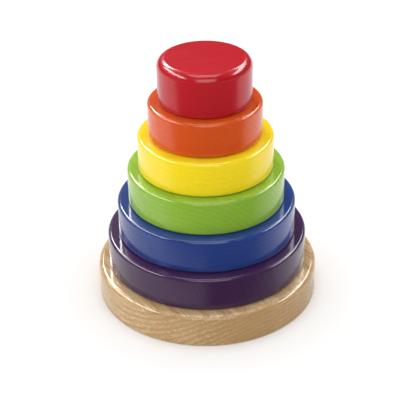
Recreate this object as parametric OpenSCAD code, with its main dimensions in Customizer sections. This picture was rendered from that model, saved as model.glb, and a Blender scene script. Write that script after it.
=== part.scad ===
// Stacking ring toy: graduated wooden rings and a round cap on a central peg.
// Origin: centre of the base's underside, on the surface that it stands on. +Z runs up the peg.

/* [Base] */
// Diameter of the round base
base_d = 132; // [80:1:240]
// Thickness of the base
base_t = 20; // [14:0.5:40]
// Radius of the base's rounded top edge
base_edge_r = 3; // [0.5:0.5:8]
// Radius of the eased edge that the base stands on
base_foot_r = 1; // [0.2:0.1:3]

/* [Rings] */
// Thickness of every ring
ring_t = 21; // [10:0.5:40]
// Diameter of the largest ring
largest_ring_d = 118.5; // [70:0.5:220]
// Diameter of the smallest ring
smallest_ring_d = 66; // [40:0.5:110]
// Radius of the rings' rounded outer edges
ring_edge_r = 1.8; // [0.4:0.1:4]
// Radius of the eased edges of each hole
bore_edge_r = 1; // [0.2:0.1:2]

/* [Cap] */
// Diameter of the cap
cap_d = 54; // [36:0.5:100]
// Height of the cap
cap_h = 26; // [18:0.5:60]
// Radius of the cap's rounded top edge
cap_edge_r = 5; // [0.5:0.5:8]

/* [Peg] */
// Diameter of the peg
peg_d = 16; // [10:0.5:20]
// Radius of the peg's rounded top edge
peg_end_r = 3; // [0.5:0.5:4.5]
// Clearance all round the peg in the rings and the cap
slide_clearance = 1; // [0.3:0.1:2]
// Glue gap all round the peg in the base's socket
glue_gap = 0.05; // [0:0.01:0.2]
// Wood left under the peg in the base
socket_floor = 5; // [2:0.5:10]
// How far the peg reaches into the cap
cap_grip = 16; // [6:0.5:17]
// Air between the peg's end and the top of the cap's socket
cap_headroom = 2; // [0.5:0.5:4]

/* [Hidden] */

// Facets on a preview's circles, and how far a cutting shape runs past a face
$fn = 96;
over = 1;

// Places in the stack, counted up from the largest ring
PURPLE = 0;
BLUE = 1;
GREEN = 2;
YELLOW = 3;
ORANGE = 4;
ring_count = 5;

beech = "#dcb98f";
purple = "#4a2f52";
blue = "#2c4a86";
green = "#8fb43a";
yellow = "#f2cf1f";
orange = "#dd5f28";
red = "#c4303a";

bore_r = peg_d / 2 + slide_clearance;
socket_r = peg_d / 2 + glue_gap;
stack_top = base_t + ring_count * ring_t;
peg_top = stack_top + cap_grip;

function ring_d(place) = largest_ring_d - place * (largest_ring_d - smallest_ring_d) / (ring_count - 1);
function ring_z(place) = base_t + place * ring_t;

// Takes the square corner at [x, y] off a profile and leaves a true arc.
// side and up point from the material towards the corner, as 1 or -1.
module round_off(x, y, r, side, up) {
  translate([x, y])
    mirror([side > 0 ? 0 : 1, 0])
      mirror([0, up > 0 ? 0 : 1])
        translate([-r, -r])
          difference() {
            square([r + over, r + over]);
            circle(r);
          }
}

// Half the cross-section of a turned disc: radius r, height h, with its own top and bottom edge radii.
module disc_profile(r, h, top_r, bottom_r) {
  difference() {
    square([r, h]);
    round_off(r, h, top_r, 1, 1);
    round_off(r, 0, bottom_r, 1, -1);
  }
}

// Round plate with a blind socket for the peg.
module base() {
  color(beech)
    difference() {
      rotate_extrude()
        disc_profile(base_d / 2, base_t, base_edge_r, base_foot_r);
      translate([0, 0, socket_floor])
        cylinder(r = socket_r, h = base_t);
    }
}

// Dowel that stands in the base's socket and carries the stack.
module peg() {
  color(beech)
    translate([0, 0, socket_floor])
      rotate_extrude()
        difference() {
          square([peg_d / 2, peg_top - socket_floor]);
          round_off(peg_d / 2, peg_top - socket_floor, peg_end_r, 1, 1);
        }
}

// Flat ring with rounded edges outside and eased edges round its hole.
module stacking_ring(place) {
  translate([0, 0, ring_z(place)])
    rotate_extrude()
      difference() {
        disc_profile(ring_d(place) / 2, ring_t, ring_edge_r, ring_edge_r);
        translate([0, -over])
          square([bore_r, ring_t + 2 * over]);
        round_off(bore_r, ring_t, bore_edge_r, -1, 1);
        round_off(bore_r, 0, bore_edge_r, -1, -1);
      }
}

// Cylinder with a rounded top and a blind socket that drops over the peg.
module red_cap() {
  color(red)
    translate([0, 0, stack_top])
      rotate_extrude()
        difference() {
          disc_profile(cap_d / 2, cap_h, cap_edge_r, ring_edge_r);
          translate([0, -over])
            square([bore_r, over + cap_grip + cap_headroom]);
          round_off(bore_r, 0, bore_edge_r, -1, -1);
        }
}

module purple_ring() {
  color(purple) stacking_ring(PURPLE);
}

module blue_ring() {
  color(blue) stacking_ring(BLUE);
}

module green_ring() {
  color(green) stacking_ring(GREEN);
}

module yellow_ring() {
  color(yellow) stacking_ring(YELLOW);
}

module orange_ring() {
  color(orange) stacking_ring(ORANGE);
}

base();
peg();
purple_ring();
blue_ring();
green_ring();
yellow_ring();
orange_ring();
red_cap();
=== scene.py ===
import math

import bmesh
import bpy
from mathutils import Matrix, Vector


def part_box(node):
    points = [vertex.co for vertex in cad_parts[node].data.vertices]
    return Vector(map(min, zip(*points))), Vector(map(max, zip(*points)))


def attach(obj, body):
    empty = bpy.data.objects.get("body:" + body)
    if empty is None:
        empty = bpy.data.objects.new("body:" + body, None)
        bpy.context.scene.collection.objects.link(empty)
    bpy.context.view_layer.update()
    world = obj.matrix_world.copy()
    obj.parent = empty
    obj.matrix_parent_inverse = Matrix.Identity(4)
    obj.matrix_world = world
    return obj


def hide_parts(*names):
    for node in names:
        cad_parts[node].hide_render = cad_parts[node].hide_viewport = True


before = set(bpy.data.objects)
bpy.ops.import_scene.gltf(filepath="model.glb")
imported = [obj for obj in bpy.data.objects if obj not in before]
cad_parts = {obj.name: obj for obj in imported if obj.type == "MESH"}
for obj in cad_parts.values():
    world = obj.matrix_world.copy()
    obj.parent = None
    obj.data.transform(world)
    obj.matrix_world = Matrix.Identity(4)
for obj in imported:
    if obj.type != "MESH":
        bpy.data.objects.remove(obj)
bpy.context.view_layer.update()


# Base: a round plate of natural beech, planed from one board and turned on a lathe.
# Its top edge is rolled over generously, its foot is just eased, and a blind socket takes the peg.
# It is sanded fine and finished with clear semi-gloss lacquer, so that all of the figure shows.

MM = 0.001
ROUND_SIDES = 192
SAME_PLACE = 0.01 * MM


def deselect_all():
    bpy.ops.object.select_all(action="DESELECT")


def turn_blank(name, radius, low, high):
    """A plain cylinder about the peg's axis, left in edit mode to be shaped."""
    deselect_all()
    bpy.ops.mesh.primitive_cylinder_add(
        vertices=ROUND_SIDES, radius=radius, depth=high - low, location=(0, 0, (low + high) / 2)
    )
    bpy.ops.object.transform_apply(location=True, rotation=False, scale=False)
    blank = bpy.context.object
    blank.name = name
    blank.data.name = name
    bpy.ops.object.mode_set(mode="EDIT")
    return blank


def pick(kind, wanted):
    """Selects only those faces or edges of the mesh being edited that pass the test."""
    bpy.ops.mesh.select_mode(type=kind)
    bpy.ops.mesh.select_all(action="DESELECT")
    mesh = bmesh.from_edit_mesh(bpy.context.object.data)
    for item in mesh.faces if kind == "FACE" else mesh.edges:
        if wanted(item):
            item.select_set(True)
    bmesh.update_edit_mesh(bpy.context.object.data)


def pick_end_faces(heights):
    """Selects the flat faces that lie at one of those heights."""

    def on_end(face):
        return any(all(abs(corner.co.z - z) < SAME_PLACE for corner in face.verts) for z in heights)

    pick("FACE", on_end)


def pick_rims(radius, heights):
    """Selects the circles of edges at that radius and at one of those heights."""

    def on_circle(corner, z):
        return abs(corner.co.z - z) < SAME_PLACE and abs(corner.co.xy.length - radius) < 5 * SAME_PLACE

    def on_rim(edge):
        return any(all(on_circle(corner, z) for corner in edge.verts) for z in heights)

    pick("EDGE", on_rim)


def round_rims(radius, heights, edge_radius, steps):
    """Rounds off the rims that pick_rims selects, each over that many strips of faces."""
    pick_rims(radius, heights)
    bpy.ops.mesh.bevel(
        offset=edge_radius, offset_type="OFFSET", segments=steps, profile=0.5, affect="EDGES"
    )


def finish_turning(piece):
    """Leaves edit mode, points the faces outwards and shades the flats flat and the rounds round."""
    bpy.ops.mesh.select_all(action="SELECT")
    bpy.ops.mesh.remove_doubles(threshold=0.1 * SAME_PLACE)
    bpy.ops.mesh.normals_make_consistent(inside=False)
    bpy.ops.object.mode_set(mode="OBJECT")
    bpy.ops.object.shade_smooth()
    modifier = piece.modifiers.new("even_shading", "WEIGHTED_NORMAL")
    modifier.keep_sharp = True
    bpy.ops.object.modifier_apply(modifier=modifier.name)


def add_node(tree, kind, **settings):
    made = tree.nodes.new(kind)
    for key, value in settings.items():
        setattr(made, key, value)
    return made


def maths(tree, operation, first, second=None, third=None):
    """A Math node; each value is a number or another node's socket."""
    made = add_node(tree, "ShaderNodeMath", operation=operation)
    for socket, value in zip(made.inputs, (first, second, third)):
        if value is None:
            continue
        if isinstance(value, (int, float)):
            socket.default_value = value
        else:
            tree.links.new(value, socket)
    return made.outputs[0]


def ramp(tree, value, low, high, to_low=0.0, to_high=1.0):
    """Spreads values from low to high smoothly over to_low to to_high."""
    made = add_node(tree, "ShaderNodeMapRange", interpolation_type="SMOOTHSTEP", clamp=True)
    tree.links.new(value, made.inputs["Value"])
    for name, number in (("From Min", low), ("From Max", high), ("To Min", to_low), ("To Max", to_high)):
        made.inputs[name].default_value = number
    return made.outputs["Result"]


def noise(tree, vector, scale, detail=2.0, roughness=0.5):
    """Soft solid noise from 0 to 1, with that many blotches to a metre."""
    made = add_node(tree, "ShaderNodeTexNoise")
    tree.links.new(vector, made.inputs["Vector"])
    made.inputs["Scale"].default_value = scale
    made.inputs["Detail"].default_value = detail
    made.inputs["Roughness"].default_value = roughness
    return made.outputs["Fac"]


def join_xyz(tree, x, y, z):
    made = add_node(tree, "ShaderNodeCombineXYZ")
    for socket, value in zip(made.inputs, (x, y, z)):
        if isinstance(value, (int, float)):
            socket.default_value = value
        else:
            tree.links.new(value, socket)
    return made.outputs[0]


def blend_colours(tree, factor, first, second):
    made = add_node(tree, "ShaderNodeMix", data_type="RGBA", blend_type="MIX")
    tree.links.new(factor, made.inputs["Factor"])
    for socket, value in ((made.inputs["A"], first), (made.inputs["B"], second)):
        if isinstance(value, tuple):
            socket.default_value = (*value, 1.0)
        else:
            tree.links.new(value, socket)
    return made.outputs["Result"]


def split_xyz(tree, vector):
    made = add_node(tree, "ShaderNodeSeparateXYZ")
    tree.links.new(vector, made.inputs["Vector"])
    return made.outputs


def place_on_toy(tree):
    """Where a point of a piece is when the toy stands with every piece down."""
    return add_node(tree, "ShaderNodeTexCoord").outputs["Object"]


def log_position(tree, grain_deg, pith):
    """Where a point lay in the log: along it, across it, above its centre, and out from that centre."""
    log = add_node(tree, "ShaderNodeMapping", vector_type="POINT")
    tree.links.new(place_on_toy(tree), log.inputs["Vector"])
    log.inputs["Rotation"].default_value = (0.0, 0.0, -math.radians(grain_deg))
    log.inputs["Location"].default_value = (0.0, -pith[0], -pith[1])
    along, across, up = split_xyz(tree, log.outputs["Vector"])
    squares = maths(tree, "MULTIPLY_ADD", across, across, maths(tree, "MULTIPLY", up, up))
    # The log isn't perfectly straight: its rings wander a little along and round it.
    most_wander = 8 * MM
    wander = noise(tree, join_xyz(tree, maths(tree, "MULTIPLY", along, 0.3), across, up), scale=24.0)
    out = maths(tree, "MULTIPLY_ADD", wander, most_wander, maths(tree, "SQRT", squares))
    return along, across, up, out


def streaks(tree, along, across, up, length, width, detail, seed=0.0):
    """Noise drawn out along the log into streaks of about that length and width."""
    space = join_xyz(
        tree,
        maths(tree, "MULTIPLY_ADD", along, 1 / length, seed),
        maths(tree, "MULTIPLY", across, 1 / width),
        maths(tree, "MULTIPLY", up, 1 / width),
    )
    return noise(tree, space, scale=1.0, detail=detail, roughness=0.55)


def piece_edges(tree, node):
    """Where a point lies on a piece: at its rims, on its outer side, and how far out from the peg."""
    low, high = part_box(node)
    radius = high.x
    rim = 2 * MM
    x, y, z = split_xyz(tree, place_on_toy(tree))
    reach = maths(tree, "SQRT", maths(tree, "MULTIPLY_ADD", x, x, maths(tree, "MULTIPLY", y, y)))
    outer = ramp(tree, reach, radius - rim, radius - 0.2 * rim)
    top = ramp(tree, z, high.z - rim, high.z - 0.2 * rim)
    foot = ramp(tree, z, low.z + 0.2 * rim, low.z + rim, 1.0, 0.0)
    rims = maths(tree, "MULTIPLY", outer, maths(tree, "MAXIMUM", top, foot))
    return rims, outer, reach


def lacquered_beech(
    name, node, pale, deep, fleck, worn, grain_deg, pith, figure, lacquer_roughness=0.09
):
    """Beech cut from a solid log, so that its growth rings, flecks and fibres run through the piece.

    pale and deep are the wood's lighter and darker colours, fleck that of its fine dashes, and worn
    what shows where handling has thinned the finish on the rims. grain_deg turns the log about Z, and
    pith is where its centre lay, across and up. figure is how strongly the pattern shows.
    """
    material = bpy.data.materials.new(name)
    material.use_nodes = True
    tree = material.node_tree
    shader = tree.nodes["Principled BSDF"]
    along, across, up, out = log_position(tree, grain_deg, pith)
    rims, side, reach = piece_edges(tree, node)

    # Growth rings: soft bands, each ending in a thin denser line, some years stronger than others.
    ring_gap = 2.9 * MM
    season = maths(tree, "FRACT", maths(tree, "DIVIDE", out, ring_gap))
    dense_line = maths(tree, "MULTIPLY", ramp(tree, season, 0.35, 0.9), ramp(tree, season, 1.0, 0.94))
    year_place = join_xyz(tree, maths(tree, "DIVIDE", out, 2.7 * ring_gap), 0.0, 0.0)
    year = noise(tree, year_place, scale=1.0, detail=1.0)
    bands = maths(tree, "MULTIPLY", dense_line, ramp(tree, year, 0.3, 0.7, 0.25, 1.0))

    # Fibres run as long fine streaks, and flecks as short dashes, thin and close together.
    fibres = streaks(tree, along, across, up, length=16 * MM, width=0.6 * MM, detail=3.0)
    short_streaks = streaks(
        tree, along, across, up, length=2.4 * MM, width=0.42 * MM, detail=1.0, seed=7.0
    )
    dashes = ramp(tree, short_streaks, 0.56, 0.72)
    cloud_place = join_xyz(tree, maths(tree, "MULTIPLY", along, 0.25), across, up)
    clouds = noise(tree, cloud_place, scale=40.0)

    # The ends of the fibres drink in more of the finish, so the side is deeper where it cuts them.
    facing_end = maths(tree, "DIVIDE", maths(tree, "ABSOLUTE", along), reach)
    end_grain = maths(tree, "MULTIPLY", side, ramp(tree, facing_end, 0.6, 1.0))

    # The tone runs from 0, the pale colour, to 1, the deep one, and each feature adds its share.
    tone = maths(tree, "MULTIPLY_ADD", bands, 0.4 * figure, 0.12)
    tone = maths(tree, "MULTIPLY_ADD", ramp(tree, fibres, 0.3, 0.7), 0.42 * figure, tone)
    tone = maths(tree, "MULTIPLY_ADD", ramp(tree, clouds, 0.3, 0.7), 0.25, tone)
    tone = maths(tree, "MULTIPLY_ADD", end_grain, 0.18, tone)
    # Painted shade: the outer side of every piece is made deeper than its top, standing in for the dimmer
    # light that falls on the toy's sides.
    tone = maths(tree, "MULTIPLY_ADD", side, 0.22, tone)
    colour = blend_colours(tree, maths(tree, "MINIMUM", tone, 1.0), pale, deep)
    colour = blend_colours(tree, maths(tree, "MULTIPLY", dashes, 0.5 * figure), colour, fleck)

    # Small hands have rubbed the rims in patches.
    patches = noise(tree, join_xyz(tree, along, across, up), scale=320.0, detail=3.0, roughness=0.6)
    rubbed = maths(tree, "MULTIPLY", rims, ramp(tree, patches, 0.42, 0.72, 0.04, 0.32))
    colour = blend_colours(tree, rubbed, colour, worn)
    tree.links.new(colour, shader.inputs["Base Color"])

    rough = maths(tree, "MULTIPLY_ADD", rubbed, 0.25, ramp(tree, fibres, 0.3, 0.7, 0.36, 0.5))
    tree.links.new(rough, shader.inputs["Roughness"])

    # The lacquer sinks a little into the pores, and it dries with a faint orange-peel surface.
    ripple = 1.4 * MM
    pores = streaks(tree, along, across, up, length=1.5 * MM, width=0.45 * MM, detail=1.0, seed=3.0)
    relief = maths(tree, "MULTIPLY_ADD", pores, 0.6, maths(tree, "MULTIPLY", fibres, 0.4))
    bump = add_node(tree, "ShaderNodeBump")
    bump.inputs["Strength"].default_value = 0.3
    bump.inputs["Distance"].default_value = 0.1 * MM
    tree.links.new(relief, bump.inputs["Height"])
    tree.links.new(bump.outputs["Normal"], shader.inputs["Normal"])
    peel = noise(tree, join_xyz(tree, along, across, up), scale=1 / ripple, detail=1.0)
    skin = maths(tree, "MULTIPLY_ADD", peel, 0.7, maths(tree, "MULTIPLY", relief, 0.5))
    coat_bump = add_node(tree, "ShaderNodeBump")
    coat_bump.inputs["Strength"].default_value = 0.3
    coat_bump.inputs["Distance"].default_value = 0.1 * MM
    tree.links.new(skin, coat_bump.inputs["Height"])
    tree.links.new(coat_bump.outputs["Normal"], shader.inputs["Coat Normal"])

    shader.inputs["Specular IOR Level"].default_value = 0.1
    shader.inputs["IOR"].default_value = 1.45
    shader.inputs["Coat Weight"].default_value = 0.9
    shader.inputs["Coat Roughness"].default_value = lacquer_roughness
    shader.inputs["Coat IOR"].default_value = 1.5
    return material


def give_material(piece, material):
    piece.data.materials.clear()
    piece.data.materials.append(material)


PEG_GLUE_GAP = 0.05 * MM
SOCKET_FLOOR = 5 * MM
BASE_EDGE = 3 * MM
BASE_FOOT = 1 * MM
WIDE_ROUND_STEPS = 12
FINE_ROUND_STEPS = 5
NATURAL = (0.85, 0.66, 0.4)
NATURAL_DEEP = (0.46, 0.28, 0.12)
NATURAL_FLECK = (0.29, 0.15, 0.055)
NATURAL_WORN = (0.72, 0.53, 0.31)

base_low, base_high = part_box("base")
peg_low, peg_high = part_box("peg")
base_radius = base_high.x
peg_radius = peg_high.x

base = turn_blank("turned_base", base_radius, base_low.z, base_high.z)
round_rims(base_radius, [base_high.z], BASE_EDGE, WIDE_ROUND_STEPS)
round_rims(base_radius, [base_low.z], BASE_FOOT, FINE_ROUND_STEPS)
pick_end_faces([base_high.z])
bpy.ops.mesh.inset(thickness=base_radius - BASE_EDGE - peg_radius - PEG_GLUE_GAP)
bpy.ops.mesh.extrude_region_move(TRANSFORM_OT_translate={"value": (0, 0, SOCKET_FLOOR - base_high.z)})
finish_turning(base)
give_material(base, lacquered_beech(
    "natural_beech", "base", pale=NATURAL, deep=NATURAL_DEEP, fleck=NATURAL_FLECK, worn=NATURAL_WORN,
    grain_deg=-55, pith=(10 * MM, -85 * MM), figure=1.5))
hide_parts("base")
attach(base, "stand")


# Peg: a beech dowel with its top end rounded over, to guide the rings on.
# It stands upright in the base's socket, glued in, and is lacquered like the base.

PEG_END = 3 * MM
PEG_ROUND_STEPS = 8

peg = turn_blank("dowel_peg", peg_radius, peg_low.z, peg_high.z)
round_rims(peg_radius, [peg_high.z], PEG_END, PEG_ROUND_STEPS)
finish_turning(peg)
give_material(peg, lacquered_beech(
    "peg_beech", "peg", pale=NATURAL, deep=NATURAL_DEEP, fleck=NATURAL_FLECK, worn=NATURAL_WORN,
    grain_deg=20, pith=(60 * MM, 20 * MM), figure=1.0))
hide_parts("peg")
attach(peg, "stand")


# Rings: five rounds cut from beech boards, each smaller than the one below, and all equally thick.
# Each is drilled to slide freely over the peg, rounded at every edge, dipped in its own stain and
# lacquered. They aren't fixed: each lies on the piece below.

SLIDE_CLEARANCE = 1 * MM
RING_EDGE = 1.8 * MM
BORE_EDGE = 1 * MM
RING_ROUND_STEPS = 7


def turn_ring(node, name):
    """A round board with a hole through it, at the place of that node, riding on its own body."""
    low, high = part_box(node)
    radius = high.x
    bore = peg_radius + SLIDE_CLEARANCE
    ends = [low.z, high.z]
    ring = turn_blank(name, radius, low.z, high.z)
    pick_end_faces(ends)
    bpy.ops.mesh.inset(thickness=radius - bore)
    bpy.ops.mesh.bridge_edge_loops()
    round_rims(bore, ends, BORE_EDGE, FINE_ROUND_STEPS)
    round_rims(radius, ends, RING_EDGE, RING_ROUND_STEPS)
    finish_turning(ring)
    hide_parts(node)
    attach(ring, node)
    return ring


purple = turn_ring("purple_ring", "turned_purple_ring")
give_material(purple, lacquered_beech(
    "purple_stain", "purple_ring",
    pale=(0.064, 0.022, 0.088), deep=(0.042, 0.013, 0.056), fleck=(0.034, 0.01, 0.044),
    worn=(0.13, 0.06, 0.15), grain_deg=70, pith=(120 * MM, -10 * MM), figure=0.8))

blue = turn_ring("blue_ring", "turned_blue_ring")
give_material(blue, lacquered_beech(
    "blue_stain", "blue_ring",
    pale=(0.022, 0.062, 0.28), deep=(0.016, 0.038, 0.19), fleck=(0.013, 0.028, 0.145),
    worn=(0.09, 0.14, 0.34), grain_deg=-125, pith=(45 * MM, -10 * MM), figure=0.8))

green = turn_ring("green_ring", "turned_green_ring")
give_material(green, lacquered_beech(
    "green_stain", "green_ring",
    pale=(0.31, 0.53, 0.045), deep=(0.22, 0.4, 0.032), fleck=(0.18, 0.33, 0.025),
    worn=(0.4, 0.58, 0.1), grain_deg=-60, pith=(-45 * MM, 20 * MM), figure=0.8))

yellow = turn_ring("yellow_ring", "turned_yellow_ring")
give_material(yellow, lacquered_beech(
    "yellow_stain", "yellow_ring",
    pale=(0.95, 0.78, 0.014), deep=(0.9, 0.67, 0.01), fleck=(0.8, 0.54, 0.008),
    worn=(0.95, 0.8, 0.1), grain_deg=5, pith=(15 * MM, -90 * MM), figure=1.2))

orange = turn_ring("orange_ring", "turned_orange_ring")
give_material(orange, lacquered_beech(
    "orange_stain", "orange_ring",
    pale=(0.72, 0.105, 0.01), deep=(0.6, 0.072, 0.007), fleck=(0.5, 0.055, 0.006),
    worn=(0.74, 0.2, 0.05), grain_deg=100, pith=(40 * MM, 60 * MM), figure=1.0))


# Cap: a taller and narrower round block of beech, with a soft top edge, stained red and lacquered.
# A blind socket under it drops over the peg's end and holds it in place.

CAP_EDGE = 5 * MM
SOCKET_DEPTH = 18 * MM

cap_low, cap_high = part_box("red_cap")
cap_radius = cap_high.x
cap_bore = peg_radius + SLIDE_CLEARANCE
cap = turn_blank("turned_red_cap", cap_radius, cap_low.z, cap_high.z)
pick_end_faces([cap_low.z])
bpy.ops.mesh.inset(thickness=cap_radius - cap_bore)
bpy.ops.mesh.extrude_region_move(TRANSFORM_OT_translate={"value": (0, 0, SOCKET_DEPTH)})
round_rims(cap_bore, [cap_low.z], BORE_EDGE, FINE_ROUND_STEPS)
round_rims(cap_radius, [cap_low.z], RING_EDGE, RING_ROUND_STEPS)
round_rims(cap_radius, [cap_high.z], CAP_EDGE, WIDE_ROUND_STEPS)
finish_turning(cap)
give_material(cap, lacquered_beech(
    "red_stain", "red_cap",
    pale=(0.52, 0.008, 0.018), deep=(0.42, 0.005, 0.012), fleck=(0.35, 0.004, 0.01),
    worn=(0.62, 0.06, 0.07), grain_deg=8, pith=(20 * MM, -60 * MM), figure=0.6, lacquer_roughness=0.15))
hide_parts("red_cap")
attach(cap, "red_cap")


# Stage: a wide pale floor under white air, soft lights round the toy and a camera before it.
# The floor has its own light, so that it stays evenly pale whatever the others do.

FLOOR_SIZE = 8.0
FLOOR_WHITE = (0.9, 0.9, 0.9, 1.0)
AIR_WHITE = (1.0, 1.0, 1.0, 1.0)

deselect_all()
bpy.ops.mesh.primitive_plane_add(size=FLOOR_SIZE)
floor = bpy.context.object
floor.name = "floor"
floor_paint = bpy.data.materials.new("pale_floor")
floor_paint.use_nodes = True
floor_shader = floor_paint.node_tree.nodes["Principled BSDF"]
floor_shader.inputs["Base Color"].default_value = FLOOR_WHITE
floor_shader.inputs["Roughness"].default_value = 1.0
floor_shader.inputs["Specular IOR Level"].default_value = 0.0
give_material(floor, floor_paint)

# The air past the floor is plain white to look at, and lights nothing.
world = bpy.data.worlds.new("studio_air")
world.use_nodes = True
air = world.node_tree.nodes["Background"]
air.inputs["Color"].default_value = AIR_WHITE
air.inputs["Strength"].default_value = 1.1
world.cycles_visibility.diffuse = False
world.cycles_visibility.glossy = False
bpy.context.scene.world = world


def floor_group(name, state):
    """A light-linking group that has the floor as its one member, either lit alone or left out."""
    group = bpy.data.collections.new(name)
    group.objects.link(floor)
    group.collection_objects[0].light_linking.link_state = state
    return group


def softbox(name, place, aim, width, height, radiance, lights):
    """A rectangular light: its radiance is how bright its face looks, whatever its size."""
    data = bpy.data.lights.new(name, "AREA")
    data.shape = "RECTANGLE"
    data.size = width
    data.size_y = height
    data.energy = math.pi * width * height * radiance
    lamp = bpy.data.objects.new(name, data)
    lamp.location = place
    lamp.rotation_euler = (Vector(aim) - Vector(place)).to_track_quat("-Z", "Y").to_euler()
    lamp.light_linking.receiver_collection = lights
    lamp.visible_camera = False
    bpy.context.scene.collection.objects.link(lamp)
    return lamp


floor_only = floor_group("floor_only", "INCLUDE")
toy_only = floor_group("all_but_floor", "EXCLUDE")
TOY_MIDDLE = (0, 0, 0.08)
LEFT_WIDTH = 3.2
RIGHT_WIDTH = 1.9
left_fill = softbox(
    "left_fill", (-1.7, 0.15, 0.95), TOY_MIDDLE,
    width=LEFT_WIDTH, height=0.3, radiance=11.0, lights=toy_only)
right_fill = softbox(
    "right_fill", (1.7, 0.7, 0.95), TOY_MIDDLE,
    width=RIGHT_WIDTH, height=0.3, radiance=11.0, lights=toy_only)
softbox("back_left", (-0.62, 1.6, 1.3), TOY_MIDDLE, width=0.5, height=0.4, radiance=30.0, lights=toy_only)
softbox("back_right", (0.8, 1.5, 1.4), TOY_MIDDLE, width=0.8, height=0.6, radiance=8.0, lights=toy_only)
softbox("front_fill", (0.1, -2.0, 1.3), TOY_MIDDLE, width=1.8, height=1.5, radiance=3.0, lights=toy_only)
softbox("overhead", (0, 0.1, 2.4), TOY_MIDDLE, width=1.4, height=1.4, radiance=3.2, lights=toy_only)
softbox("floor_light", (0, 0, 3.0), (0, 0, 0), width=12.0, height=12.0, radiance=1.5, lights=floor_only)

# The side fills light the wood without a shine. Two high lights that only shine draw the bright lines
# along the rims, too high up for the tops to mirror them strongly.
left_fill.visible_glossy = False
right_fill.visible_glossy = False
for name, place, width in (
    ("left_gloss", (-1.7, 0.15, 1.7), LEFT_WIDTH),
    ("right_gloss", (1.7, 0.7, 1.7), RIGHT_WIDTH),
):
    gloss_light = softbox(name, place, TOY_MIDDLE, width, height=0.5, radiance=13.0, lights=toy_only)
    gloss_light.visible_diffuse = False


# A black card lies in front of the toy and takes the floor's sheen off its front. The camera doesn't
# see it. It pales towards the toy, sooner at the left, so the sheen there ends in a soft step at the
# middle.

CARD_SIZE = 1.8
CARD_LIFT = 1 * MM
CARD_BLACK = (0.01, 0.01, 0.01)
CARD_PALE = (0.75, 0.75, 0.75)
FRONT_FADE = (-100 * MM, -10 * MM)
LEFT_FADE = (-160 * MM, -70 * MM)
STEP_FADE = (-15 * MM, 10 * MM)

deselect_all()
bpy.ops.mesh.primitive_plane_add(size=CARD_SIZE, location=(0, -CARD_SIZE / 2, CARD_LIFT))
bpy.ops.object.transform_apply(location=True, rotation=False, scale=False)
card = bpy.context.object
card.name = "dark_card"
card.visible_camera = False
card.visible_shadow = False
card.visible_diffuse = False
card_paint = bpy.data.materials.new("dark_card")
card_paint.use_nodes = True
card_tree = card_paint.node_tree
card_shader = card_tree.nodes["Principled BSDF"]
card_place = split_xyz(card_tree, place_on_toy(card_tree))
left_part = ramp(card_tree, card_place["X"], *STEP_FADE, 1.0, 0.0)
left_pale = maths(card_tree, "MULTIPLY", left_part, ramp(card_tree, card_place["Y"], *LEFT_FADE))
card_pale = maths(card_tree, "MAXIMUM", left_pale, ramp(card_tree, card_place["Y"], *FRONT_FADE))
card_colour = blend_colours(card_tree, card_pale, CARD_BLACK, CARD_PALE)
card_tree.links.new(card_colour, card_shader.inputs["Base Color"])
card_shader.inputs["Specular IOR Level"].default_value = 0.0
give_material(card, card_paint)


# The camera looks down on the toy from its front, very slightly turned and tilted.

yaw = math.radians(-0.353)
pitch = math.radians(30.444)
roll = math.radians(-0.954)

eye = bpy.data.cameras.new("camera")
eye.sensor_width = 36.0
eye.lens = 107.4
camera = bpy.data.objects.new("camera", eye)
camera.location = (0, -0.6128, 0.4187)
camera.rotation_mode = "XYZ"
forward = Vector((math.sin(yaw) * math.cos(pitch), math.cos(yaw) * math.cos(pitch), -math.sin(pitch)))
right = Vector((math.cos(yaw), -math.sin(yaw), 0))
up = right.cross(forward)
rolled_right = math.cos(roll) * right + math.sin(roll) * up
rolled_up = -math.sin(roll) * right + math.cos(roll) * up
camera.rotation_euler = Matrix((rolled_right, rolled_up, -forward)).transposed().to_euler()
bpy.context.scene.collection.objects.link(camera)
bpy.context.scene.camera = camera
bpy.context.scene.view_settings.view_transform = "Standard"
